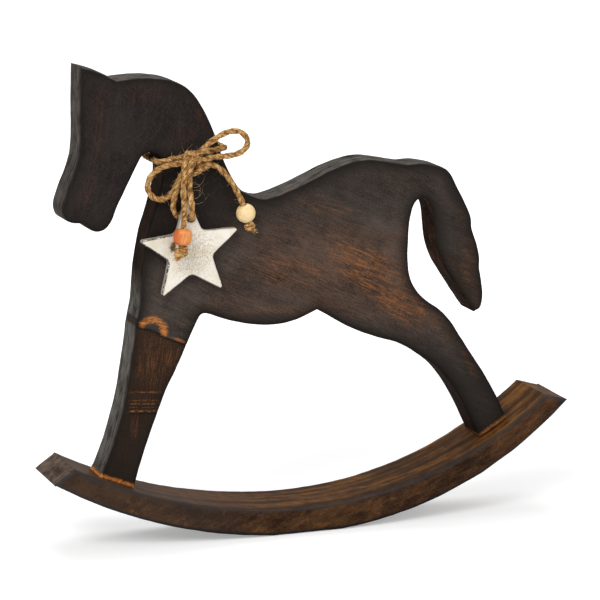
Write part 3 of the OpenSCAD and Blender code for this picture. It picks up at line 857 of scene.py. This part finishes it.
def split_off(net, seam, high_x=1, gap=0.0):
    """Cuts a net along a seam, as far as high_x, and gives the part above it and the part below."""
    up = seam_up(seam)
    near = [f for f in net.faces if f.calc_center_median().x < high_x]
    geom = near + list({e for f in near for e in f.edges}) + list({v for f in near for v in f.verts})
    bmesh.ops.bisect_plane(net, geom=geom, dist=WELD, plane_co=seam[0], plane_no=up)
    high, low = net, net.copy()
    for part, sign in ((high, 1), (low, -1)):
        gone = []
        for f in part.faces:
            middle = f.calc_center_median()
            above = (middle - seam[0]).dot(up) if middle.x < high_x else 1
            if sign * above < 0:
                gone.append(f)
        bmesh.ops.delete(part, geom=gone, context="FACES")
        rim = [e for e in part.edges if e.is_boundary]
        for v in {v for e in rim for v in e.verts}:
            ragged = 0.7 + noise.noise(v.co * 400)
            v.co.y -= copysign(gap * ragged, v.co.y)
        for e in rim:
            e.smooth = False
        bmesh.ops.holes_fill(part, edges=rim, sides=0)
    return high, low


def streaks(wood, turned, length, width, detail=4, rough=0.6):
    """Marks drawn out along one direction of a board's face. Sizes are in millimetres."""
    x, y, z = wood.mm
    along_it, across_it = on_turned_axes(x, z, turned)
    drawn_out = wood.start.point(along_it / length, y / (3 * width), across_it / width)
    return drawn_out.mottle(detail, rough)


def patches(wood, ragged, places):
    """1 inside any of the places, and 0 outside. Each has ragged edges and its own strength."""
    x, _, z = wood.mm
    found = None
    for at_x, at_z, half_long, half_wide, turned, strength in places:
        u, v = on_turned_axes(x - at_x, z - at_z, turned)
        u, v = u / half_long, v / half_wide
        spot = (u * u + v * v + (ragged - 0.5) * 2.2).rise(1.3, 0.1) * strength
        found = spot if found is None else found.most(spot)
    return found


def coated(tone, *coats):
    """A colour with others laid over it in turn, each where its own mask is 1."""
    for mask, colour in coats:
        tone = mask.blended(tone, colour)
    return tone


def above_top(x, z):
    """Millimetres above the top of the rocker."""
    from_middle = x - TOP_MIDDLE.x * 1000
    rear_of = from_middle.rise(-0.01, 0.01)
    radius = rear_of * (REAR_TOP_R - FRONT_TOP_R) * 1000 + FRONT_TOP_R * 1000
    return radius - from_middle.reach(z - TOP_MIDDLE.z * 1000 - radius)


def past_seam(x, z, seam):
    """Millimetres above a seam, square to it."""
    up = seam_up(seam)
    return (x - seam[0].x * 1000) * up.x + (z - seam[0].z * 1000) * up.z


# Where the stain is rubbed thin: X, Z, half its length and width, slope, strength
RUBBED_BODY = (
    (42, 173, 46, 14, -27, 1.0), (64, 146, 22, 11, -30, 0.9), (-12, 174, 36, 11, -12, 0.4),
    (2, 219, 26, 7, -18, 0.35), (68, 194, 12, 6, -15, 0.4), (-20, 149, 30, 4, -6, 0.35),
    (112, 106, 20, 5, -62, 0.4), (109, 187, 22, 6, -72, 0.24), (92, 128, 20, 7, -50, 0.3),
    (110, 167, 10, 5, -60, 0.22),
)
RUBBED_HEAD = (
    (-144, 277, 26, 4, 84, 0.6), (-152, 236, 16, 5, 70, 0.5), (-68, 282, 17, 11, -60, 0.9),
    (-112, 298, 14, 7, 10, 0.35), (-88, 268, 12, 7, 40, 0.3),
)
RUBBED_LEG = ((-110, 124, 21, 12, 80, 0.65), (-96, 125, 9, 5, 70, 0.8), (-122, 80, 11, 4, 78, 0.5))
WARMED_BODY = ((34, 168, 100, 36, -16, 0.13), (-52, 160, 30, 22, -10, 0.07))
# Level scrapes across the front leg: height, half their thickness, strength
LEG_SCRAPES = (
    (101.8, 0.9, 0.55), (96.2, 0.7, 0.5), (94.0, 0.8, 0.6), (91.6, 0.6, 0.4), (89.2, 0.9, 0.9),
)
SEAM_SCRAPE = 87.4
# The bare arch on the leg: the X and Z of its middle, half its width and height, and its lean
ARCH_X, ARCH_Z, ARCH_HALF, ARCH_RISE, ARCH_LEAN = -110.3, 141.4, 10.2, 9.6, -25
ORANGE = (0.36, 0.13, 0.036)

horse_stain = Finish("horse stain", Specular_IOR_Level=0.05)
x, y, z = horse_stain.mm
start = horse_stain.start
into_neck = past_seam(x, z, NECK_SEAM)
under_leg = past_seam(x, z, LEG_SEAM)
neck = into_neck.rise(-36, 22)
leg = under_leg.rise(0.4, -0.4) * x.rise(-80, -83)
off_neck, off_leg = 1 - neck, 1 - leg
shown_side = y.rise(7, -7)
cloud = start.point(x / 34 + 3, y / 20, z / 34).mottle()
blotch = start.point(x / 11, y / 9, z / 11 + 5).mottle(detail=4, rough=0.65)
speck = horse_stain.cells(0.9, rough=0.75)
slanted = streaks(horse_stain, -26, 7.5, 0.95)
upright = streaks(horse_stain, 80, 13, 1.1)
fibres = slanted + (upright - slanted) * neck.most(leg)
swathes = streaks(horse_stain, -24, 55, 6.5, detail=3)
cross_cuts = streaks(horse_stain, 64, 6.5, 0.85, detail=3)
scratches = streaks(horse_stain, 38, 9, 0.8).most(streaks(horse_stain, -50, 8, 0.8))
dragged = streaks(horse_stain, -12, 5, 0.9, detail=3).rise(0.34, 0.56)

# The coat, darker on the neck and redder on the leg
mixed = fibres * 0.18 + swathes * 0.2 * off_neck + cloud * 0.24 + blotch * 0.16 + speck * 0.42
spread = (mixed + neck * 0.1).rise(0.44, 0.76)
body_tone = spread.blended((0.024, 0.018, 0.015), (0.09, 0.071, 0.061))
neck_tone = spread.blended((0.011, 0.008, 0.007), (0.037, 0.029, 0.026))
leg_tone = spread.blended((0.014, 0.008, 0.005), (0.054, 0.029, 0.018))
# Darker towards the ends of the legs, down the tail and along the top of the rump, with painted shade
# of the bow in a band along the neck seam
deep = (z.rise(162, 78) * 0.75).most(z.rise(166, 143) * 0.16) * off_leg
for darker_term in (
    z.rise(112, 66) * 0.62 * leg,
    x.rise(80, 96) * z.rise(135, 150) * 0.5,
    z.rise(196, 232) * off_neck * 0.35,
    # Painted shadow of the bow on the neck, in a band along the seam
    into_neck.rise(-30, 2) * into_neck.rise(40, 12) * 0.6,
):
    deep = deep.most(darker_term)
reddened = patches(horse_stain, cloud, RUBBED_HEAD)
reddened = reddened * (fibres * 0.5 + speck * 0.5).rise(0.38, 0.66) * 0.8

# Where it is rubbed thin and the orange of the wood comes through
rubbed = patches(horse_stain, cloud, RUBBED_BODY) * off_leg * off_neck
rubbed = rubbed * (shown_side * 0.6 + 0.4)
warmed = patches(horse_stain, swathes, WARMED_BODY)
lines = fibres.rise(0.46, 0.68) * 0.38 + cross_cuts.rise(0.48, 0.7) * 0.27
lines = lines + swathes.rise(0.45, 0.65) * 0.2
leg_lines = (upright * 0.8 + speck * 0.3).rise(0.48, 0.74)
all_over = fibres.rise(0.5, 0.72) * swathes.rise(0.42, 0.62) * (speck * 0.2)
thin = all_over * off_neck * off_leg * (1 - deep)
thin = thin + warmed * (fibres * 0.4 + blotch * 0.35 + speck * 0.35).rise(0.36, 0.72) * off_leg
thin = thin + rubbed * lines * (0.6 + speck * 0.8)
thin = thin + patches(horse_stain, cloud, RUBBED_LEG) * leg * leg_lines * 0.36
level = z + (x + 115) * 0.085 + (cloud - 0.5) * 1.5
broken = start.point(x / 3.2, y / 3, z / 1.1).mottle(rough=0.7).rise(0.4, 0.56)
ticks = start.point(x / 0.9, y / 4, z / 5).mottle(detail=2).rise(0.32, 0.62)
shin_width = x.rise(-127.5, -124.5) * x.rise(-103, -108) * shown_side
for height, half, strength in LEG_SCRAPES:
    score = abs(level - height).rise(half * 1.2, half * 0.2)
    thin = thin.most(score * broken * ticks * shin_width * strength * 0.8)

# The stain ran thick along the edges of the faces
pooled = horse_stain.layer("rim") + (cloud - 0.5) * 0.7 + (blotch - 0.5) * 0.3
pooled = pooled.rise(0.05, 0.95) * 0.74 * (1 - leg * 0.75) * (1 - neck * 0.55)

# Bare wood in an arch over the leg seam, and a little to its rear
arch_u, arch_v = on_turned_axes(x - ARCH_X, z - ARCH_Z, ARCH_LEAN)
arch = (arch_u / ARCH_HALF).reach(arch_v / ARCH_RISE)
arch = abs(arch + (blotch - 0.5) * 0.7 + (speck - 0.5) * 0.6 - 0.84)
bare = arch.rise(0.36, 0.08) * under_leg.rise(-0.6, 0.4) * (dragged * 0.7 + 0.3) * shown_side
bare = bare.most(patches(horse_stain, blotch, ((-92, 134.6, 5, 1.3, -25, 0.7),)) * 0.6)
# and round the bottom of each foot, where the stain missed the joint
foot_edge = above_top(x, z) + (fibres - 0.5) * 3.4 + (blotch - 0.5) * 2
rear_foot = x.rise(-10, 10)
bare = bare.most(foot_edge.rise(3.6, 1.4) * (1 - rear_foot * 0.45))
bare_wood = (speck * 0.6 + broken * 0.4).rise(0.25, 0.8)
bare_wood = bare_wood.blended((0.33, 0.105, 0.024), (0.56, 0.215, 0.058))
seam_line = abs(under_leg + (fibres - 0.5) * 3.5 + (blotch - 0.5) * 3.5).rise(1.5, 0.3)
seam_line = seam_line * x.rise(-80, -83) * (broken * 0.4 + 0.5)
scrape_line = abs(level - SEAM_SCRAPE).rise(0.8, 0.3) * shin_width

# The sawn walls: dark and brown, with a painted grey sheen of the lamps where they face forward on the
# leg and head and where they face up
facing_x, facing_y, facing_z = horse_stain.facing()
wall = abs(facing_y).rise(0.72, 0.4)
saw_marks = start.point(x / 13, y / 1.1, z / 13).mottle(detail=4, rough=0.7)
wall_brown = (saw_marks * 0.5 + blotch * 0.5).rise(0.38, 0.62)
wall_brown = wall_brown.blended((0.005, 0.003, 0.002), (0.028, 0.012, 0.006))
fore_wall = facing_x.rise(-0.35, -0.75) * x.rise(-80, -95)
fore_wall = fore_wall * z.rise(184, 158).most(x.rise(-136, -141) * 0.62)
upper_wall = facing_z.rise(0.35, 0.8) * 0.9
wall_sheen = fore_wall.most(upper_wall) * (saw_marks * 0.6 + blotch * 0.4).rise(0.33, 0.64)
tail_slot = facing_x.rise(-0.15, -0.5) * x.rise(68, 78) * z.rise(118, 128)
scorched = tail_slot * (speck * 0.5 + blotch * 0.5).rise(0.48, 0.62) * 0.8
notch = abs(under_leg - 2).rise(3.6, 1.6) * fore_wall
wall_tone = coated(
    wall_brown,
    # Painted sheen: pale grey where the lamps glare on the walls
    (wall_sheen, (0.175, 0.162, 0.147)),
    (blotch.rise(0.56, 0.68) * upper_wall * 0.6, (0.1, 0.045, 0.024)),
    (scorched, (0.13, 0.042, 0.013)),
    (notch * 0.85, (0.022, 0.013, 0.008)),
)
# Painted shade: the rounded arrises are darkened where they turn away from the light
arris = horse_stain.layer("arris").rise(0.12, 0.8) * 0.55 * (1 - bare) * (1 - upper_wall)
tone = coated(
    body_tone,
    (neck, neck_tone),
    (leg, leg_tone),
    # Darker places low down and at the tail, and the painted shade of the bow
    (deep, (0.015, 0.012, 0.01)),
    (scratches.rise(0.56, 0.72) * neck * 0.5, (0.058, 0.047, 0.042)),
    (reddened.least(1), (0.07, 0.031, 0.021)),
    (thin.least(1), ORANGE),
    (pooled, (0.014, 0.011, 0.009)),
    (bare, bare_wood),
    (seam_line.most(scrape_line * 0.6), (0.006, 0.005, 0.005)),
    (wall * (1 - bare) * 0.9, wall_tone),
    (arris, (0.01, 0.009, 0.008)),
)
rough = 0.55 + (fibres - 0.5) * 0.25 + (cloud - 0.5) * 0.2 + bare.most(wall) * 0.3
horse_stain.feed("Base Color", tone)
horse_stain.feed("Roughness", rough)
horse_stain.relief(fibres * 0.35 + speck * 0.4 + cross_cuts * 0.25, 0.00024)

HORSE_BOARDS = ("head_and_neck", "torso", "front_leg")
horse_shell = welded(HORSE_BOARDS, (NECK_SEAM, LEG_SEAM))
horse_net = hand_rounded(horse_shell, BOARD_T / 2, ARRIS, BOARD_VOXEL, foot_height)
head_net, lower_net = split_off(horse_net, NECK_SEAM)
body_net, leg_net = split_off(lower_net, LEG_SEAM, high_x=-0.05, gap=0.00025)
board_names = ("head_board", "body_board", "front_leg_board")
for name, node, net in zip(board_names, HORSE_BOARDS, (head_net, body_net, leg_net)):
    board = piece_from(name, net)
    horse_stain.cover(board)
    takes_place(board, node)


# -------------------------------- The rocker
# One curved board, 50 mm wide and 19 mm thick in the middle, sawn to arcs, bevelled
# at both ends and worn along its edges. It is screwed to the feet from below.

ROCKER_HALF = 0.025
ROCKER_ARRIS = 0.0028
ROCKER_VOXEL = BOARD_VOXEL * 1.1
rocker_net = hand_rounded(welded(["rocker"]), ROCKER_HALF, ROCKER_ARRIS, ROCKER_VOXEL)
rocker_board = piece_from("rocker_board", rocker_net)
rocker_stain = Finish("rocker stain", Specular_IOR_Level=0.06)
x, y, z = rocker_stain.mm
start = rocker_stain.start
lift = above_top(x, z)  # 0 at the top, and about -19 at the underside
rear_half = x.rise(-10, 10)
cloud = start.point(x / 26, y / 14, lift / 12 + 7).mottle()
blotch = start.point(x / 9, y / 7, lift / 6).mottle(detail=4, rough=0.65)
speck = rocker_stain.cells(0.9, rough=0.75)
top_streaks = start.point(x / 95, y / 3.0, lift / 4).mottle()
broad_streaks = start.point(x / 140 + 4, y / 8, lift / 6).mottle(detail=2, rough=0.45)
smears = streaks(rocker_stain, 24, 13, 3.0)

# The long faces, greyer towards the front, with warm smears
mixed = cloud * 0.4 + smears * 0.3 + blotch * 0.25 + speck * 0.35
face_tone = coated(
    mixed.rise(0.52, 0.8).blended((0.017, 0.008, 0.0045), (0.096, 0.044, 0.018)),
    (x.rise(-30, -90) * 0.5, (0.05, 0.034, 0.026)),
    (smears.rise(0.54, 0.72) * cloud.rise(0.42, 0.66) * 0.45, (0.2, 0.08, 0.028)),
    (blotch.rise(0.6, 0.74) * 0.4, (0.22, 0.084, 0.022)),
)
# The top, with long golden streaks towards the rear
mixed = top_streaks * 0.26 + broad_streaks * 0.36 + cloud * 0.2 + speck * 0.2 + blotch * 0.24
golden = (broad_streaks * 0.6 + cloud * 0.4).rise(0.44, 0.6)
golden = golden * (top_streaks * 0.5 + blotch * 0.5).rise(0.36, 0.62) * (1 - x.rise(-10, -70) * 0.6)
top_tone = coated(
    mixed.rise(0.48, 0.8).blended((0.022, 0.01, 0.005), (0.122, 0.052, 0.017)),
    (golden * 0.62, (0.27, 0.112, 0.025)),
    (x.rise(-20, -110) * 0.45, (0.075, 0.05, 0.036)),
)
# The bevels on the ends, which the saw left pale
bevel_mix = (smears * 0.45 + blotch * 0.35 + speck * 0.2).rise(0.4, 0.6)
bevel_pale = rear_half.blended((0.15, 0.108, 0.083), (0.215, 0.11, 0.05))
bevel_tone = bevel_mix.blended((0.034, 0.02, 0.013), bevel_pale)
bevel_tone = (rear_half * 0.5).blended(bevel_tone, (0.26, 0.125, 0.054))
facing_x, _, facing_z = rocker_stain.facing()
end_bevel = (facing_x * x.maths("SIGN", x)).rise(0.25, 0.5) * facing_z.rise(0.0, 0.2)
arris = rocker_stain.layer("arris")
low_edge = lift.rise(-13.5, -17.5)
tone = coated(
    face_tone,
    (facing_z.rise(0.35, 0.75), top_tone),
    (end_bevel, bevel_tone),
    # Painted reflection: a grey band along the rounded arrises
    (arris.rise(0.46, 0.74) * (0.5 + speck * 0.4), (0.032, 0.032, 0.033)),
    # Painted shade along the lower arrises, next to the underside
    (arris.rise(0.35, 0.7) * low_edge * 0.8, (0.006, 0.005, 0.005)),
)
rough = 0.55 + (top_streaks - 0.5) * 0.25 + (cloud - 0.5) * 0.2 - arris * 0.08
rocker_stain.feed("Base Color", tone)
rocker_stain.feed("Roughness", rough)
rocker_stain.relief(top_streaks * 0.35 + speck * 0.4 + smears * 0.25, 0.00026)
rocker_stain.cover(rocker_board)
takes_place(rocker_board, "rocker")


# --------------------- Dowels and leg screws
# Beech dowels inside the two seams, and two countersunk steel screws that go up
# through the rocker into the feet.

raw_beech = Finish("raw beech", Roughness=0.7)
x, y, z = raw_beech.mm
beech_grain = raw_beech.start.point(x * 1.4, y * 1.4, z * 0.1).mottle().rise(0.3, 0.7)
raw_beech.feed("Base Color", beech_grain.blended((0.62, 0.42, 0.24), (0.45, 0.28, 0.15)))
raw_beech.cover(nodes["neck_dowels"], nodes["leg_dowels"])

zinc = Finish("zinc-plated steel", Metallic=1.0)
smear = zinc.cells(1 / 0.8)
zinc.feed("Base Color", smear.rise(0.3, 0.7).blended((0.55, 0.54, 0.5), (0.68, 0.67, 0.64)))
zinc.feed("Roughness", 0.28 + smear * 0.25)
zinc.cover(nodes["leg_screws"])


# ---------------------------------- The star
# A flat star cast in aluminium in sand, brushed white and left rough, with dark
# pits along its edges. It hangs on the bow's cord by the hole in its top point.

STAR_LEAN = radians(4.5)
STAR_VOXEL = 0.00055
STAR_ARRIS = 0.0009
DENTS, PITS, PARED = 0.00012, 0.00007, 0.00008
star_shell = welded(["star"])
joints = frame["record"]["behaviour"]["joints"]
hang = Vector(next(j for j in joints if j["name"] == "star_swing")["pos_m"])
upright_plate = Matrix.Rotation(-STAR_LEAN, 4, "X") @ Matrix.Translation(-hang)
bmesh.ops.transform(star_shell, matrix=upright_plate, verts=star_shell.verts)
plate_y = [v.co.y for v in star_shell.verts]
star_half = (max(plate_y) - min(plate_y)) / 2
to_middle = Matrix.Translation((0, -(max(plate_y) + min(plate_y)) / 2, 0))
bmesh.ops.transform(star_shell, matrix=to_middle, verts=star_shell.verts)
star_net = hand_rounded(star_shell, star_half, STAR_ARRIS, STAR_VOXEL, waves=0.5)
star_net.normal_update()
for v in star_net.verts:
    dent = noise.noise(v.co * 260) * DENTS + noise.noise(v.co * 900) * PITS
    v.co += v.normal * (dent - PARED)
bmesh.ops.transform(star_net, matrix=(to_middle @ upright_plate).inverted(), verts=star_net.verts)
star = piece_from("cast_star", star_net)

cast = Finish("cast aluminium", Metallic=0.05, Specular_IOR_Level=0.3)
from_hole_x, from_hole_z = cast.mm[0] - hang.x * 1000, cast.mm[2] - hang.z * 1000
grit = cast.cells(0.8, detail=4, rough=0.75)
worms = abs(cast.cells(1.5, rough=0.6) - 0.5)
arris = cast.layer("arris")
middle_of_star = (from_hole_x - 2).reach(from_hole_z + 24).rise(24, 7)
whitened = cast.cells(9).rise(0.3, 0.7).blended((0.99, 0.94, 0.85), (0.88, 0.79, 0.63))
speckled = worms.rise(0.045, 0.008) * (middle_of_star * 0.75 + 0.12)
speckled = speckled.most(grit.rise(0.47, 0.34) * (middle_of_star * 0.5 + 0.15))
pitted = from_hole_x.rise(-4, -14).most(from_hole_z.rise(-38, -50) * 0.6) * 0.85 + 0.15
edge_pits = arris.rise(0.2, 0.7) * (grit * 0.7 + worms * 1.6).rise(0.56, 0.42) * pitted
_, facing_y, facing_z = cast.facing()
tone = coated(
    whitened,
    (speckled, (0.42, 0.34, 0.235)),
    (abs(facing_y).rise(0.6, 0.3) * 0.75, (0.26, 0.235, 0.2)),
    # Painted shade on the rounded edges that face down
    (arris.rise(0.25, 0.7) * facing_z.rise(-0.05, -0.45) * 0.85, (0.075, 0.066, 0.056)),
    (edge_pits, (0.035, 0.029, 0.024)),
)
cast.feed("Base Color", tone)
cast.feed("Roughness", 0.42 + grit * 0.3)
cast.relief(grit * 0.7 + worms * 0.8, 0.0004)
cast.cover(star)
takes_place(star, "star", body="star")
